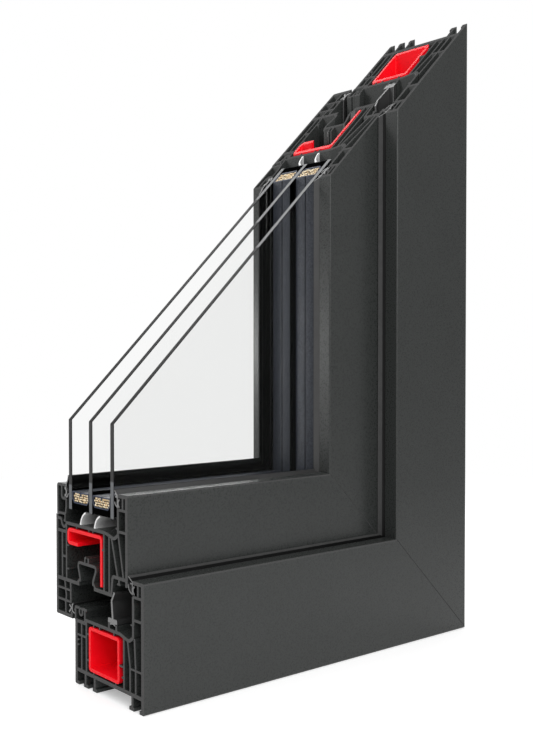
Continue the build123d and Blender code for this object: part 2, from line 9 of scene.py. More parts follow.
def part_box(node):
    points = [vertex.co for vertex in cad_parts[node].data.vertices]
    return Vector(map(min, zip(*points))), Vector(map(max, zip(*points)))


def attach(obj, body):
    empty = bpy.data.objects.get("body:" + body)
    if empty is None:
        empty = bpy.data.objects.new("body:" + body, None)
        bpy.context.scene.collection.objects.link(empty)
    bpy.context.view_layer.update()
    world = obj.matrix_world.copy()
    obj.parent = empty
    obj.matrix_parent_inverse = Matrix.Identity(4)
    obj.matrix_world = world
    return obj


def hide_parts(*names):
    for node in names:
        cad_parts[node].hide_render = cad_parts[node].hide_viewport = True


# The looks of a cut-away corner of a triple-glazed plastic window, built round its solids.
# Lengths are in metres. The rail runs along +X, the jamb along +Z, and outdoors is -Y.

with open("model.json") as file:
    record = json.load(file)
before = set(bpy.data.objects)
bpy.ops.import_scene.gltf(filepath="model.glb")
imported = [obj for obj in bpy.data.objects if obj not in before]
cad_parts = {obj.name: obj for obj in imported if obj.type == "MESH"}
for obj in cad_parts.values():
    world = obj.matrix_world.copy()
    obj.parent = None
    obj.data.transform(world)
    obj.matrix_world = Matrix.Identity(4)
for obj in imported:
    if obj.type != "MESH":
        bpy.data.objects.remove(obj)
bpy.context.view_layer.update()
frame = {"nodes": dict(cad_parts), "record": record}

MM = 0.001
CLOSE = 0.05 * MM                           # levels nearer than this are taken as one

# Directions
ALONG = {"rail": Vector((1, 0, 0)), "jamb": Vector((0, 0, 1))}
INWARD = {"rail": Vector((0, 0, -1)), "jamb": Vector((1, 0, 0))}      # from the glass into a profile
LEFT = Vector((-1, 0, 0))                   # out of the rail's square cut
SLOPE = Vector((-1, 0, 1)).normalized()     # out of the sloping cut
MITRE = Vector((1, 0, 1)).normalized()      # from the rail into the jamb

# Where the sample is cut and mitred, from the frame
rail_low, rail_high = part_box("frame_rail")
pane_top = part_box("outer_pane")[1]
cut_point = Vector((rail_low.x, 0, 0))
mitre_point = Vector((rail_high.x, 0, 0))
slope_point = Vector((pane_top.x, 0, pane_top.z))

# Glass
PANES = ("outer_pane", "middle_pane", "inner_pane")
ARRIS = 0.3 * MM
# How far past the spacers a pane's edges stay pale with painted light, at the square cut and along
# the slope
PALE_REACH = {"outer_pane": (10 * MM, 53 * MM), "middle_pane": (7 * MM, 33 * MM),
              "inner_pane": (3.6 * MM, 13 * MM)}
GLASS_MIRROR = 0.006                        # share that a pane mirrors when it is seen straight on
GLASS_FLATNESS = 5.0                        # how late the mirroring grows as it is seen flatter

# Spacers, the seals beside them and the drying beads in them
OVERRUN = 12 * MM                           # a strip is made this much too long, then trimmed
SPACER_WALL = 0.7 * MM
SPACER_BEVEL = 2.4 * MM
SPACER_SHOULDER = 0.4 * MM
SPACER_INSET = 1.0 * MM                     # from a spacer's outside to its block of beads
SEAM_HALF = 0.4 * MM
SEAM_DEPTH = 1.0 * MM
SEAL_THICK = 0.3 * MM
SEAL_PROUD = 1.4 * MM
SEAL_ROUNDING = 0.3 * SEAL_THICK
GRAIN_RADIUS = 0.78 * MM
GRAIN_PITCH = 1.65 * MM
ROW_PITCH = 0.87 * GRAIN_PITCH              # staggered rows lie closer together
ROW_END = 0.8 * GRAIN_RADIUS                # nearest that a bead's middle comes to the far wall
GRAIN_SIZES = (0.85, 1.1)                   # of the radius
GRAIN_WIDTHS = (0.85, 1.0)                  # of a bead's size
GRAIN_DEPTH = {"rail": 1.0, "jamb": 0.4}    # of a bead's middle behind the cut, in its radii
GRAIN_SINK = 0.4 * MM                       # most that it sinks in further
GRAIN_SHIFT = 0.2 * MM                      # most that it lies beside its row's place
GRAIN_LIFT = 0.15 * MM
CORE_BACK = 1.8 * MM                        # from the cut to the core behind the separate beads
chance = random.Random(12)


# Colours

def screen(red, green, blue):
    """A colour by its screen levels from 0 to 255."""
    levels = [channel / 255 for channel in (red, green, blue)]
    return tuple(c / 12.92 if c <= 0.04045 else ((c + 0.055) / 1.055) ** 2.4
                 for c in levels) + (1.0,)


def grey(value):
    """A grey by its screen level from 0 to 255."""
    return screen(value, value, value)


WHITE = (1.0, 1.0, 1.0, 1.0)
SKIN = screen(47, 49, 48)
# Painted highlight along the upper edges of the rails' outdoor faces
EDGE_HIGHLIGHT = grey(64)
# The sawn plastic and rubber are the same on both cuts; their different greys on the rail and the
# jamb paint in how the light falls on each cut: painted light and shade
SAWN_PROFILE = {"rail": grey(74), "jamb": grey(64)}
SAWN_RUBBER = {"rail": grey(104), "jamb": grey(66)}
GASKET = grey(44)
# The frame gasket's grey is lighter than the other gaskets' to paint in the light on its lit band:
# painted highlight
FRAME_GASKET = grey(62)
# The bead gasket's grey is darker than the other gaskets' to paint in the shade behind the three
# panes: painted shade
BEAD_GASKET = grey(12)
# Painted shade in the creases beside the frame gasket
PAINTED_CREASE_SHADE = grey(6)
# The fin's body is far paler than its dark grey plastic, to lift it out of the shade it sits in:
# painted light
FIN, SAWN_FIN = grey(185), grey(235)
THIN_RED, FULL_RED = (0.86, 0.003, 0.010, 1.0), (0.97, 0.006, 0.016, 1.0)
SMEARED_GLASS = (0.8, 0.83, 0.82, 1.0)
GLASS_TINT = (0.974, 0.975, 0.974, 1.0)
# Painted light on the pane edges: pale where the spacer stands behind them, dark where clear glass
# does, and paler on the slope, which faces the light from above
EDGE_OVER_SPACER, EDGE_OVER_GLASS = screen(102, 104, 107), grey(46)
SLOPE_OVER_GLASS, SLOPE_OVER_SPACER = grey(40), screen(128, 129, 130)
ARRIS_LOW, ARRIS_HIGH = grey(10), grey(18)
DARK_SATIN, PALE_SATIN = screen(36, 39, 46), screen(78, 81, 89)
SAWN_SPACER = screen(34, 44, 68)
BEAD_TAN, BEAD_CREAM = screen(238, 204, 152), screen(255, 242, 214)
BEAD_PORE, PAINTED_BEAD_SHADE = screen(180, 136, 84), screen(66, 38, 16)
# Painted shade: the dark browns of the core behind the beads
DARK_CORE_SHADE, BROWN_CORE_SHADE = screen(14, 8, 4), screen(40, 24, 12)
DARK_SEALANT, PALE_SEALANT = grey(3), grey(8)
FLOOR = (0.82, 0.82, 0.82, 1.0)


# Nodes

def new_material(name):
    """A material and its nodes."""
    material = bpy.data.materials.new(name)
    material.use_nodes = True
    return material, material.node_tree


def feed(tree, socket, value):
    """Links an output to a socket, or sets the socket to a plain value."""
    if isinstance(value, bpy.types.NodeSocket):
        tree.links.new(value, socket)
    else:
        socket.default_value = value


def put(tree, kind, settings=None, **values):
    """Adds a node, with plain values or links on its inputs."""
    made = tree.nodes.new("ShaderNode" + kind)
    for name, value in (settings or {}).items():
        setattr(made, name, value)
    for name, value in values.items():
        feed(tree, made.inputs[name.replace("_", " ")], value)
    return made


def reckon(tree, operation, *values):
    """A number worked out from one or two numbers or links."""
    made = put(tree, "Math", {"operation": operation})
    for socket, value in zip(made.inputs, values):
        feed(tree, socket, value)
    return made.outputs[0]


def reckon_vector(tree, operation, *values):
    """A Vector or a Value worked out from one or two vectors."""
    made = put(tree, "VectorMath", {"operation": operation})
    for socket, value in zip(made.inputs, values):
        feed(tree, socket, value)
    return made.outputs


def scaled(tree, colour, factor):
    """A colour made lighter or darker by a factor."""
    if not isinstance(colour, bpy.types.NodeSocket):
        colour = colour[:3]
    return put(tree, "VectorMath", {"operation": "SCALE"}, Vector=colour, Scale=factor).outputs[0]


def mixed(tree, share, first, second):
    """First colour where share is 0 and second where it is 1."""
    made = put(tree, "Mix", {"data_type": "RGBA"})
    for number, value in ((0, share), (6, first), (7, second)):
        feed(tree, made.inputs[number], value)
    return made.outputs[2]


def mixed_value(tree, share, first, second):
    """First number where share is 0 and second where it is 1."""
    made = put(tree, "Mix")
    for number, value in ((0, share), (2, first), (3, second)):
        feed(tree, made.inputs[number], value)
    return made.outputs[0]


def level(tree, value, low, high, to_low, to_high):
    """Value from low to high becomes to_low to to_high."""
    made = put(tree, "MapRange", Value=value, From_Min=low, From_Max=high, To_Min=to_low,
               To_Max=to_high)
    return made.outputs["Result"]


def vary(tree, pattern, low, high):
    """Noise, which lies mostly from 0.3 to 0.7, becomes low to high."""
    return level(tree, pattern, 0.3, 0.7, low, high)


def own_place(tree):
    """The piece's own coordinates in metres."""
    return put(tree, "TexCoord").outputs["Object"]


def noise(tree, size, stretch=(1, 1, 1), detail=3.0):
    """Noise whose spots are about size metres across."""
    where = put(tree, "Mapping", Vector=own_place(tree), Scale=stretch).outputs["Vector"]
    made = put(tree, "TexNoise", Vector=where, Scale=1 / size, Detail=detail, Roughness=0.6)
    return made.outputs["Fac"]


def bump(tree, height, depth, strength, below=None):
    """A bumped normal, over another one where there is one below."""
    made = put(tree, "Bump", Height=height, Distance=depth, Strength=strength)
    if below is not None:
        tree.links.new(below, made.inputs["Normal"])
    return made.outputs["Normal"]


def facing(tree, direction):
    """1 on faces that look along a direction, 0 on faces beside it and -1 on their backs."""
    normal = put(tree, "NewGeometry").outputs["Normal"]
    return reckon_vector(tree, "DOT_PRODUCT", normal, direction)["Value"]


def cut_mask(tree, run):
    """1 on faces that were cut across the run of a profile, and 0 along it."""
    return level(tree, reckon(tree, "ABSOLUTE", facing(tree, ALONG[run])), 0.3, 0.5, 0, 1)


def between(tree, low, high):
    """1 between two depths from outdoors, 0 outside them, with soft ends."""
    soft = 0.2 * MM
    depth = put(tree, "SeparateXYZ", Vector=own_place(tree)).outputs["Y"]
    past_low = level(tree, depth, low - soft, low + soft, 0, 1)
    before_high = level(tree, depth, high - soft, high + soft, 1, 0)
    return reckon(tree, "MULTIPLY", past_low, before_high)


def dress(material, colour, roughness, normal=None, specular=0.5):
    """Gives a material's shader its colour, roughness, bumps and gloss."""
    tree = material.node_tree
    shader = tree.nodes["Principled BSDF"]
    feed(tree, shader.inputs["Base Color"], colour)
    feed(tree, shader.inputs["Roughness"], roughness)
    if normal is not None:
        feed(tree, shader.inputs["Normal"], normal)
    shader.inputs["Specular IOR Level"].default_value = specular
    return material


def show_mix(tree, share, first, second):
    """Shows the first shader where share is 0 and the second where it is 1."""
    both = put(tree, "MixShader", Fac=share)
    tree.links.new(first.outputs[0], both.inputs[1])
    tree.links.new(second.outputs[0], both.inputs[2])
    tree.links.new(both.outputs[0], tree.nodes["Material Output"].inputs["Surface"])


# Finishes

def top_edge(name):
    """A point on the upper edge of a rail's outdoor face."""
    corners = [vertex.co for vertex in bpy.data.objects[name].data.vertices]
    front = min(corner.y for corner in corners)
    return Vector((0, front, max(corner.z for corner in corners if corner.y < front + CLOSE)))


def painted_edge_highlight(tree, run, corners):
    """1 on the edges that follow a profile's run through its corners, where a highlight is painted,
    and 0 elsewhere.
    """
    across = Vector((1, 1, 1)) - ALONG[run]
    spot = reckon_vector(tree, "MULTIPLY", own_place(tree), across)[0]
    highlit = 0.0
    for corner in corners:
        away = reckon_vector(tree, "DISTANCE", spot, corner * across)["Value"]
        near = level(tree, away, 0.3 * MM, 0.6 * MM, 1, 0)
        highlit = reckon(tree, "MAXIMUM", near, highlit)
    return highlit


def profile_finish(run, corners):
    """Dark grey plastic with a finely grained satin skin, and a paler, matt sawn face."""
    material, tree = new_material("grained profile " + run)
    cut = cut_mask(tree, run)
    grain = noise(tree, 1.0 * MM)
    clouds = noise(tree, 45 * MM, detail=2.0)
    saw_marks = noise(tree, 0.5 * MM, stretch=(1, 0.04, 1), detail=2.0)
    shade = reckon(tree, "MULTIPLY", vary(tree, grain, 0.78, 1.22), vary(tree, clouds, 0.96, 1.04))
    # Painted highlight: a paler line along the rails' upper front edges
    skin = mixed(tree, painted_edge_highlight(tree, run, corners), scaled(tree, SKIN, shade), EDGE_HIGHLIGHT)
    sawn = scaled(tree, SAWN_PROFILE[run], vary(tree, saw_marks, 0.82, 1.18))
    roughness = mixed_value(tree, cut, vary(tree, grain, 0.24, 0.34), 0.95)
    grained = bump(tree, grain, depth=0.025 * MM, strength=0.6)
    sawn_only = reckon(tree, "MULTIPLY", saw_marks, cut)
    normal = bump(tree, sawn_only, depth=0.05 * MM, strength=0.5, below=grained)
    return dress(material, mixed(tree, cut, skin, sawn), roughness, normal, specular=0.34)


def rubber_finish(name, run, body, sawn, specular=0.5, band=None):
    """Matt rubber or soft plastic, paler where it is cut, and painted black shade outside a band of
    depths.
    """
    material, tree = new_material(name + " " + run)
    cut = cut_mask(tree, run)
    specks = noise(tree, 0.8 * MM)
    smear = noise(tree, 6 * MM, detail=2.0)
    patches = reckon(tree, "MULTIPLY", specks, smear)
    skin = scaled(tree, body, level(tree, patches, 0.1, 0.4, 0.85, 1.15))
    if band:
        # Painted shade: black outside the lit band of depths
        skin = mixed(tree, between(tree, *band), PAINTED_CREASE_SHADE, skin)
    colour = mixed(tree, cut, skin, scaled(tree, sawn, vary(tree, specks, 0.85, 1.12)))
    normal = bump(tree, specks, depth=0.03 * MM, strength=0.5)
    return dress(material, colour, vary(tree, smear, 0.34, 0.46), normal, specular)


def red_paint():
    """Bright red paint with a faint orange peel, a little thinner in places."""
    material, tree = new_material("red painted steel")
    peel = noise(tree, 1.6 * MM, detail=1.0)
    patches = noise(tree, 14 * MM)
    colour = mixed(tree, vary(tree, patches, 0, 1), THIN_RED, FULL_RED)
    normal = bump(tree, peel, depth=0.03 * MM, strength=0.4)
    return dress(material, colour, vary(tree, patches, 0.38, 0.48), normal, specular=0.12)


def clear_glass():
    """Float glass that shows what is behind it, with a trace of green.
    It mirrors more the flatter it is seen."""
    material, tree = new_material("clear glass")
    mirror = tree.nodes["Principled BSDF"]
    mirror.inputs["Base Color"].default_value = SMEARED_GLASS
    mirror.inputs["Metallic"].default_value = 1.0
    smears = noise(tree, 40 * MM, stretch=(1, 1, 0.4), detail=4.0)
    tree.links.new(level(tree, smears, 0.45, 0.8, 0.0, 0.12), mirror.inputs["Roughness"])
    through = put(tree, "BsdfTransparent", Color=GLASS_TINT)
    slant = put(tree, "LayerWeight", Blend=0.5).outputs["Facing"]
    steep = reckon(tree, "POWER", slant, GLASS_FLATNESS)
    show_mix(tree, level(tree, steep, 0, 1, GLASS_MIRROR, 1.0), through, mirror)
    return material


def ground_edge(name, axis, sight, below, above):
    """A ground edge of a pane, painted light: one grey beside the spacer, and another over clear
    glass.
    """
    material, tree = new_material(name)
    soft = 0.5 * MM
    ground = noise(tree, 0.35 * MM, stretch=(1, 0.3, 1))
    reach = put(tree, "SeparateXYZ", Vector=own_place(tree)).outputs[axis]
    tone = mixed(tree, level(tree, reach, sight - soft, sight + soft, 0, 1), below, above)
    colour = scaled(tree, tone, vary(tree, ground, 0.85, 1.15))
    normal = bump(tree, ground, depth=0.05 * MM, strength=0.5)
    return dress(material, colour, vary(tree, ground, 0.4, 0.6), normal, specular=0.1)


def spacer_finish(run):
    """Blue-grey satin plastic of the spacers, darker blue where it is cut."""
    material, tree = new_material("spacer plastic " + run)
    grain = noise(tree, 0.7 * MM, detail=2.0)
    clouds = noise(tree, 20 * MM, detail=2.0)
    satin = mixed(tree, vary(tree, grain, 0, 1), DARK_SATIN, PALE_SATIN)
    colour = mixed(tree, cut_mask(tree, run), satin, SAWN_SPACER)
    normal = bump(tree, grain, depth=0.02 * MM, strength=0.5)
    return dress(material, colour, vary(tree, clouds, 0.38, 0.5), normal, specular=0.2)


def bead_finish(run):
    """Cream drying beads, each a little different, with pores, and painted brown shade on their
    backs.
    """
    material, tree = new_material("cream drying bead " + run)
    each = noise(tree, 1.4 * MM, detail=0.0)
    pores = noise(tree, 0.18 * MM)
    pale = mixed(tree, level(tree, each, 0.35, 0.65, 0, 1), BEAD_TAN, BEAD_CREAM)
    porous = mixed(tree, level(tree, pores, 0.55, 0.8, 0, 0.4), pale, BEAD_PORE)
    # Painted shade: faces turned away from the cut are browner
    outward = facing(tree, LEFT if run == "rail" else SLOPE)
    colour = mixed(tree, level(tree, outward, 0.25, 0.75, 0, 1), PAINTED_BEAD_SHADE, porous)
    return dress(material, colour, 0.75, bump(tree, pores, depth=0.05 * MM, strength=0.6))


def bead_core_shade():
    """Dark brown core behind the beads in the depth of the spacer: painted shade for the beads
    further in.
    """
    material, tree = new_material("brown bead core shade")
    crumbs = noise(tree, 0.9 * MM)
    colour = mixed(tree, level(tree, crumbs, 0.35, 0.7, 0, 1), DARK_CORE_SHADE, BROWN_CORE_SHADE)
    return dress(material, colour, 0.9, bump(tree, crumbs, depth=0.3 * MM, strength=0.8))


def sealant_finish():
    """Black edge sealant with trowel marks."""
    material, tree = new_material("black sealant")
    drag = noise(tree, 1.5 * MM, stretch=(0.3, 1, 0.3))
    colour = mixed(tree, vary(tree, drag, 0, 1), DARK_SEALANT, PALE_SEALANT)
    normal = bump(tree, drag, depth=0.1 * MM, strength=0.5)
    return dress(material, colour, vary(tree, drag, 0.4, 0.6), normal, specular=0.0)


# The solids' finishes

sash_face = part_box("sash_rail")[0].y
rail_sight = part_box("outer_spacer_rail")[1].z
jamb_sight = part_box("outer_spacer_jamb")[0].x
# Depths between which the frame's gasket catches the light in front of the sash; outside them it is
# painted black as shade in its creases
lit_band = {"rail": (sash_face - 2.6 * MM, sash_face - 0.3 * MM),
            "jamb": (sash_face - 3.5 * MM, sash_face - 0.5 * MM)}
# Edges that get a painted highlight
highlit = {"rail": [top_edge("frame_rail"), top_edge("sash_rail")], "jamb": []}

red = red_paint()
glass = clear_glass()
black = sealant_finish()
core_shade = bead_core_shade()
arris = ground_edge("glass arris", "Z", rail_sight, ARRIS_LOW, ARRIS_HIGH)
cream = {run: bead_finish(run) for run in ALONG}
finishes = {}
for run in ALONG:
    finishes["profile", run] = profile_finish(run, highlit[run])
    finishes["gasket", run] = rubber_finish("gasket rubber", run, GASKET, SAWN_RUBBER[run])
    finishes["frame_gasket", run] = rubber_finish("frame gasket rubber", run, FRAME_GASKET,
                                                  SAWN_RUBBER[run], 0.15, lit_band[run])
    finishes["bead_gasket", run] = rubber_finish("bead gasket rubber", run, BEAD_GASKET,
                                                 SAWN_RUBBER[run])
    finishes["fin", run] = rubber_finish("fin plastic", run, FIN, SAWN_FIN)
    finishes["spacer", run] = spacer_finish(run)
    finishes["steel", run] = red
    finishes["glass", run] = glass
    finishes["sealant", run] = black
    finishes["desiccant", run] = core_shade


def give(piece, *materials):
    """Sets the material slots of a piece."""
    piece.data.materials.clear()
    for material in materials:
        piece.data.materials.append(material)


slot_of = {row["node"]: row["material_slot"] for row in frame["record"]["subparts"]}
for name, solid in frame["nodes"].items():
    run = "jamb" if name.endswith("jamb") else "rail"
    own_kind = name.removesuffix("_" + run)
    kind = own_kind if (own_kind, run) in finishes else slot_of[name]
    give(solid, finishes[kind, run])


# Making pieces

def deselect():
    """Leaves edit mode, with nothing selected."""
    if bpy.context.object and bpy.context.object.mode != "OBJECT":
        bpy.ops.object.mode_set(mode="OBJECT")
    bpy.ops.object.select_all(action="DESELECT")


def choose(piece):
    """Makes a piece the only one that is selected."""
    deselect()
    piece.select_set(True)
    bpy.context.view_layer.objects.active = piece


def block(name, low, high):
    """A block between two corners, with its place in its mesh, ready to be shaped."""
    deselect()
    bpy.ops.mesh.primitive_cube_add(size=1, location=(Vector(low) + Vector(high)) / 2)
    piece = bpy.context.object
    piece.name = piece.data.name = name
    piece.scale = Vector(high) - Vector(low)
    bpy.ops.object.transform_apply(location=True, rotation=True, scale=True)
    return piece


def edit(piece, kind="FACE"):
    """Opens a piece in edit mode with nothing selected."""
    choose(piece)
    bpy.ops.object.mode_set(mode="EDIT")
    bpy.ops.mesh.select_mode(type=kind)
    bpy.ops.mesh.select_all(action="DESELECT")


def leave_edit():
    """Goes back to object mode, in which the mesh is up to date."""
    bpy.ops.object.mode_set(mode="OBJECT")


def pick_faces(piece, test):
    """In edit mode, selects the faces for which the test is true."""
    leave_edit()
    for face in piece.data.polygons:
        face.select = test(face)
    bpy.ops.object.mode_set(mode="EDIT")


def pick_edges(piece, test):
    """In edit mode, selects the edges for whose two ends the test is true."""
    leave_edit()
    mesh = piece.data
    for part in (*mesh.vertices, *mesh.polygons):
        part.select = False
    for edge in mesh.edges:
        edge.select = test(*[mesh.vertices[number].co for number in edge.vertices])
    bpy.ops.object.mode_set(mode="EDIT")


def bevel(width, segments=1):
    """In edit mode, bevels the edges that are selected."""
    bpy.ops.mesh.bevel(offset=width, segments=segments, affect="EDGES")


def paint(piece, slot_number, test):
    """In edit mode, gives the faces for which the test is true one of the piece's materials."""
    pick_faces(piece, test)
    piece.active_material_index = slot_number
    bpy.ops.object.material_slot_assign()


def slice_off(point, outward):
    """In edit mode, cuts away all of the piece beyond a plane and closes the cut."""
    bpy.ops.mesh.select_all(action="SELECT")
    bpy.ops.mesh.bisect(plane_co=point, plane_no=outward, use_fill=True, clear_outer=True)


def slice_hollow(point, outward):
    """In edit mode, cuts away all of a tube beyond a plane and closes the cut round its wall."""
    bpy.ops.mesh.select_all(action="SELECT")
    bpy.ops.mesh.bisect(plane_co=point, plane_no=outward, use_fill=False, clear_outer=True)
    bpy.ops.mesh.bridge_edge_loops()


def trim(run, cut=slice_off, back=0.0):
    """In edit mode, cuts a strip at the mitre and at its sawn end, or back from that end."""
    if run == "rail":
        cut(mitre_point, MITRE)
        cut(cut_point - LEFT * back, LEFT)
    else:
        cut(mitre_point, -MITRE)
        cut(slope_point - SLOPE * back, SLOPE)


def overlong(run, low, high):
    """Lengthens a box past the cuts at both ends of its run."""
    return low - ALONG[run] * OVERRUN, high + ALONG[run] * OVERRUN


def is_long(run, first, second):
    """True for an edge that follows the run of the profile."""
    return abs((second - first).normalized().dot(ALONG[run])) > 0.99


def sink(run, point):
    """How far a point lies down into the rail, or sideways into the jamb."""
    return point.dot(INWARD[run])


def is_long_at(run, depth, first, second):
    """True for a long edge that lies at one depth into the profile."""
    return is_long(run, first, second) and abs(sink(run, first) - depth) < CLOSE


def done(piece, slot, *replaced):
    """Puts a finished piece on the body and hides the solids it stands for. The slot is not used."""
    deselect()
    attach(piece, "root")
    if replaced:
        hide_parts(*replaced)


# Glass

def pane(name):
    """A pane of glass, with its ground edges and the arris taken off them."""
    piece = block(name.replace("pane", "glass"), *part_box(name))
    edit(piece)
    slice_off(slope_point, SLOPE)
    bpy.ops.mesh.select_all(action="SELECT")
    bpy.ops.mesh.normals_make_consistent(inside=False)
    bevel(ARRIS)
    leave_edit()
    rail_reach, jamb_reach = PALE_REACH[name]
    # Painted light on the ground edges, by what stands behind them
    square_edge = ground_edge(name + " ground edge", "Z", rail_sight + rail_reach,
                              EDGE_OVER_SPACER, EDGE_OVER_GLASS)
    slope_edge = ground_edge(name + " sawn edge", "X", jamb_sight - jamb_reach,
                             SLOPE_OVER_GLASS, SLOPE_OVER_SPACER)
    give(piece, glass, square_edge, slope_edge, arris)
    edit(piece)
    paint(piece, 3, lambda face: abs(face.normal.y) < 0.95)
    paint(piece, 1, lambda face: max(abs(face.normal.x), abs(face.normal.z)) > 0.95)
    paint(piece, 2, lambda face: face.normal.dot(SLOPE) > 0.95)
    done(piece, "glass", name)


# Spacers and their seals

def spacer(name, run):
    """A hollow spacer with rounded shoulders, bevelled feet and a seam groove down the middle."""
    low, high = overlong(run, *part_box(name + "_" + run))
    low.y += SEAL_THICK
    high.y -= SEAL_THICK
    middle = (low.y + high.y) / 2
    sight, foot = sorted((sink(run, low), sink(run, high)))
    piece = block(name + "_strip_" + run, low, high)
    edit(piece, "EDGE")
    pick_edges(piece, lambda a, b: is_long_at(run, foot, a, b))
    bevel(SPACER_BEVEL)
    pick_edges(piece, lambda a, b: is_long_at(run, sight, a, b))
    bevel(SPACER_SHOULDER, segments=2)
    press_seam(piece, run, middle, sight)
    hollow_out(piece, run)
    edit(piece, "EDGE")
    trim(run, slice_hollow)
    leave_edit()
    choose(piece)
    bpy.ops.object.shade_smooth_by_angle(angle=math.radians(35))
    give(piece, finishes["spacer", run], black)
    edit(piece)
    # The seam groove's faces are painted black: painted shade in the groove, with the dark of its
    # perforations
    paint(piece, 1, lambda face: abs(face.center.y - middle) < SEAM_HALF and abs(face.normal.y) > 0.3)
    done(piece, "spacer", name + "_" + run)


def press_seam(piece, run, middle, sight):
    """In edit mode, presses a groove down the middle of a spacer's face."""
    for offset in (-SEAM_HALF, 0.0, SEAM_HALF):
        bpy.ops.mesh.select_all(action="SELECT")
        bpy.ops.mesh.bisect(plane_co=(0, middle + offset, 0), plane_no=(0, 1, 0))
    pick_edges(piece, lambda a, b: is_long_at(run, sight, a, b) and abs(a.y - middle) < CLOSE)
    bpy.ops.transform.translate(value=INWARD[run] * SEAM_DEPTH)


def hollow_out(piece, run):
    """In edit mode, opens both ends of a spacer, then gives it its wall and leaves edit mode."""
    bpy.ops.mesh.select_mode(type="FACE")
    pick_faces(piece, lambda face: abs(face.normal.dot(ALONG[run])) > 0.99)
    bpy.ops.mesh.delete(type="FACE")
    bpy.ops.mesh.select_all(action="SELECT")
    bpy.ops.mesh.normals_make_consistent(inside=False)
    leave_edit()
    wall = piece.modifiers.new("wall", "SOLIDIFY")
    wall.thickness = SPACER_WALL
    wall.offset = -1.0
    wall.use_even_offset = True
    bpy.ops.object.modifier_apply(modifier=wall.name)


def seal_strip(name, run, side):
    """The thin black strip that seals a spacer to one pane and stands a little past it."""
    low, high = overlong(run, *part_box(name + "_" + run))
    if side == "outdoor":
        high.y = low.y + SEAL_THICK
    else:
        low.y = high.y - SEAL_THICK
    if run == "rail":
        low.z += SPACER_BEVEL
        high.z += SEAL_PROUD
    else:
        high.x -= SPACER_BEVEL
        low.x -= SEAL_PROUD
    piece = block(name + "_seal_" + side + "_" + run, low, high)
    edit(piece, "EDGE")
    pick_edges(piece, lambda a, b: is_long(run, a, b))
    bevel(SEAL_ROUNDING, segments=2)
    trim(run)
    leave_edit()
    give(piece, black)
    done(piece, "sealant")


# Drying beads

def first_grain(run):
    """One drying bead, a little lopsided, with a radius of 1 so that its copies can be scaled."""
    deselect()
    bpy.ops.mesh.primitive_uv_sphere_add(segments=8, ring_count=6, radius=1.0)
    grain = bpy.context.object
    edit(grain, "VERT")
    bpy.ops.mesh.select_all(action="SELECT")
    bpy.ops.transform.vertex_random(offset=0.12, seed=4)
    leave_edit()
    bpy.ops.object.shade_smooth()
    give(grain, cream[run])
    return grain


def grain_places(low, high, run):
    """Where the beads lie behind the sawn end of a spacer, in staggered rows, and their sizes."""
    spare = SPACER_INSET - SPACER_WALL
    on_rail = run == "rail"
    bottom, top = (low.z, high.z) if on_rail else (low.x, high.x)
    bottom, top = bottom - spare, top + spare
    rise = bottom + GRAIN_RADIUS
    odd = False
    places = []
    while rise < top - ROW_END:
        from_foot = rise - bottom if on_rail else top - rise
        corner = max(0.0, SPACER_BEVEL - SPACER_WALL - from_foot)
        y = low.y + GRAIN_RADIUS + corner + (GRAIN_PITCH / 2 if odd else 0)
        while y < high.y - ROW_END - corner:
            size = GRAIN_RADIUS * chance.uniform(*GRAIN_SIZES)
            depth = size * GRAIN_DEPTH[run] + chance.uniform(0, GRAIN_SINK)
            side = y + chance.uniform(-GRAIN_SHIFT, GRAIN_SHIFT)
            lift = rise + chance.uniform(-GRAIN_LIFT, GRAIN_LIFT)
            if on_rail:
                place = Vector((cut_point.x + depth, side, lift))
            else:
                cut_level = slope_point.z - (slope_point.x - lift)
                place = Vector((lift, side, cut_level - depth * math.sqrt(2)))
            places.append((place, size))
            y += GRAIN_PITCH
        rise += ROW_PITCH * (1 if on_rail else math.sqrt(0.5))
        odd = not odd
    return places


def laid_grain(grain, place, size):
    """A copy of the first bead, turned and stretched by chance, in its place."""
    copy = grain.copy()
    copy.data = grain.data.copy()
    turn = Matrix.Rotation(chance.uniform(0, math.tau), 4, "X")
    turn = turn @ Matrix.Rotation(chance.uniform(0, math.tau), 4, "Z")
    stretch = Matrix.Diagonal((size, size * chance.uniform(*GRAIN_WIDTHS), size, 1))
    copy.matrix_world = Matrix.Translation(place) @ turn @ stretch
    bpy.context.scene.collection.objects.link(copy)
    return copy


def drying_beads(name, run, grain):
    """The beads that show at the sawn end, joined to a dark core behind them that is painted shade
    for the beads further in.
    """
    low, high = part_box(name + "_" + run)
    grains = [laid_grain(grain, *laid) for laid in grain_places(low, high, run)]
    foot = max(sink(run, low), sink(run, high))
    core = block(name.replace("desiccant", "drying_beads") + "_" + run, *overlong(run, low, high))
    edit(core, "EDGE")
    pick_edges(core, lambda a, b: is_long_at(run, foot, a, b))
    bevel(SPACER_BEVEL - SPACER_WALL)
    trim(run, back=CORE_BACK)
    leave_edit()
    give(core, core_shade, cream[run])
    choose(core)
    for copy in grains:
        copy.select_set(True)
    bpy.ops.object.join()
    done(core, "desiccant", name + "_" + run)


for name in PANES:
    pane(name)
for run in ALONG:
    for name in ("outer_spacer", "inner_spacer"):
        spacer(name, run)
        for side in ("outdoor", "room"):
            seal_strip(name, run, side)
    grain = first_grain(run)
    for name in ("outer_desiccant", "inner_desiccant"):
        drying_beads(name, run, grain)
    bpy.data.objects.remove(grain)


# Stage, light and camera

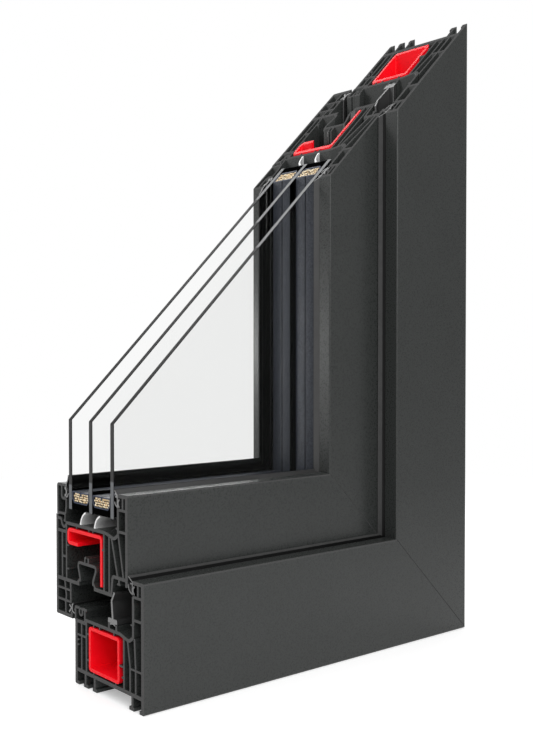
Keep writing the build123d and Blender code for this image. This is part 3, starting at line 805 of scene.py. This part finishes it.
WORLD_LEVEL = 0.35
SKY_LEVEL = 1.0
FRONT_MIRROR = (0.95, 0.3)                  # mirrored white in front of the object, left and right
FLOOR_GLOW = 0.35                           # lifts the floor to white where it is seen
FLOOR_RADIUS = 6.0
FLOOR_DROP = 0.2 * MM
PLAIN_FLOOR = (0.35, 1.0)                   # distances over which it turns into plain white
LIGHT_AIM = Vector((0, 0, 0.2))
CAMERA_PLACE = Vector((-0.45223, -0.53055, 0.20714))
CAMERA_HEADING = math.radians(40.53)        # from +Y towards +X
CAMERA_DIP = math.radians(1.2945)
CAMERA_LENS = 49.636                        # millimetres, on a sensor 36 millimetres wide
CAMERA_SENSOR = 36.0
CAMERA_SHIFT = (-0.0157, 0.00036)
CAMERA_NEAR = 0.01


def floor_finish():
    """Pale floor that keeps the object's shadow and runs out into plain white.
    Where it is mirrored, it dims in front of the object towards the right, as the world does."""
    material, tree = new_material("pale floor")
    rays = put(tree, "LightPath").outputs
    spot = put(tree, "SeparateXYZ", Vector=own_place(tree)).outputs
    in_front = level(tree, spot["X"], -0.1, 0.3, *FRONT_MIRROR)
    mirrored = mixed_value(tree, level(tree, spot["Y"], -0.1, 0.0, 0, 1), in_front, 1.0)
    in_gloss = reckon(tree, "MULTIPLY", rays["Is Glossy Ray"], mirrored)
    seen = reckon(tree, "MAXIMUM", rays["Is Camera Ray"], in_gloss)
    shown = reckon(tree, "MAXIMUM", seen, rays["Is Transmission Ray"])
    shader = tree.nodes["Principled BSDF"]
    shader.inputs["Emission Color"].default_value = WHITE
    feed(tree, shader.inputs["Emission Strength"], reckon(tree, "MULTIPLY", shown, FLOOR_GLOW))
    away = reckon_vector(tree, "LENGTH", own_place(tree))["Value"]
    plain = put(tree, "Emission", Color=WHITE, Strength=level(tree, shown, 0, 1, WORLD_LEVEL, 1.0))
    show_mix(tree, level(tree, away, *PLAIN_FLOOR, 0, 1), shader, plain)
    return dress(material, FLOOR, 0.9, specular=0.0)


def pale_world():
    """White where it is seen or seen through, and a softer light on the object, most from above.
    What the object mirrors is white behind it, and dims in front of it towards the right."""
    world = bpy.data.worlds.new("pale studio")
    bpy.context.scene.world = world
    world.use_nodes = True
    tree = world.node_tree
    rays = put(tree, "LightPath").outputs
    shown = reckon(tree, "MAXIMUM", rays["Is Camera Ray"], rays["Is Transmission Ray"])
    way = put(tree, "SeparateXYZ", Vector=put(tree, "TexCoord").outputs["Generated"]).outputs
    light = level(tree, way["Z"], -0.1, 1.0, WORLD_LEVEL, SKY_LEVEL)
    in_front = level(tree, way["X"], 0.4, 0.85, *FRONT_MIRROR)
    mirrored = mixed_value(tree, level(tree, way["Y"], -0.3, 0.0, 0, 1), in_front, 1.0)
    lit = mixed_value(tree, rays["Is Glossy Ray"], light, mirrored)
    background = tree.nodes["Background"]
    background.inputs["Color"].default_value = WHITE
    tree.links.new(mixed_value(tree, shown, lit, 1.0), background.inputs["Strength"])


def lamp(name, place, width, height, power):
    """A soft light that faces the sample."""
    data = bpy.data.lights.new(name, "AREA")
    data.shape = "RECTANGLE"
    data.size, data.size_y = width, height
    data.energy = power
    light = bpy.data.objects.new(name, data)
    light.location = place
    light.rotation_euler = (LIGHT_AIM - Vector(place)).to_track_quat("-Z", "Y").to_euler()
    bpy.context.scene.collection.objects.link(light)


def set_camera():
    """The camera, outdoors and to the left, about level with the sample's middle."""
    data = bpy.data.cameras.new("camera")
    data.sensor_width = CAMERA_SENSOR
    data.lens = CAMERA_LENS
    data.shift_x, data.shift_y = CAMERA_SHIFT
    data.clip_start = CAMERA_NEAR
    camera = bpy.data.objects.new("camera", data)
    camera.location = CAMERA_PLACE
    view_line = Vector((math.sin(CAMERA_HEADING) * math.cos(CAMERA_DIP),
                        math.cos(CAMERA_HEADING) * math.cos(CAMERA_DIP), -math.sin(CAMERA_DIP)))
    camera.rotation_euler = view_line.to_track_quat("-Z", "Y").to_euler()
    bpy.context.scene.collection.objects.link(camera)
    bpy.context.scene.camera = camera


pale_world()
deselect()
bpy.ops.mesh.primitive_circle_add(vertices=96, radius=FLOOR_RADIUS, fill_type="NGON",
                                  location=(0, 0, -FLOOR_DROP))
floor = bpy.context.object
floor.name = "floor"
give(floor, floor_finish())
lamp("key light", (-0.45, -0.95, 0.8), 0.9, 0.9, 9.0)
lamp("low light", (-0.62, 0.95, 0.21), 0.12, 0.05, 1.4)
lamp("room light", (0.5, 0.9, 0.9), 0.9, 0.9, 6.0)
set_camera()
bpy.context.scene.view_settings.view_transform = "Standard"
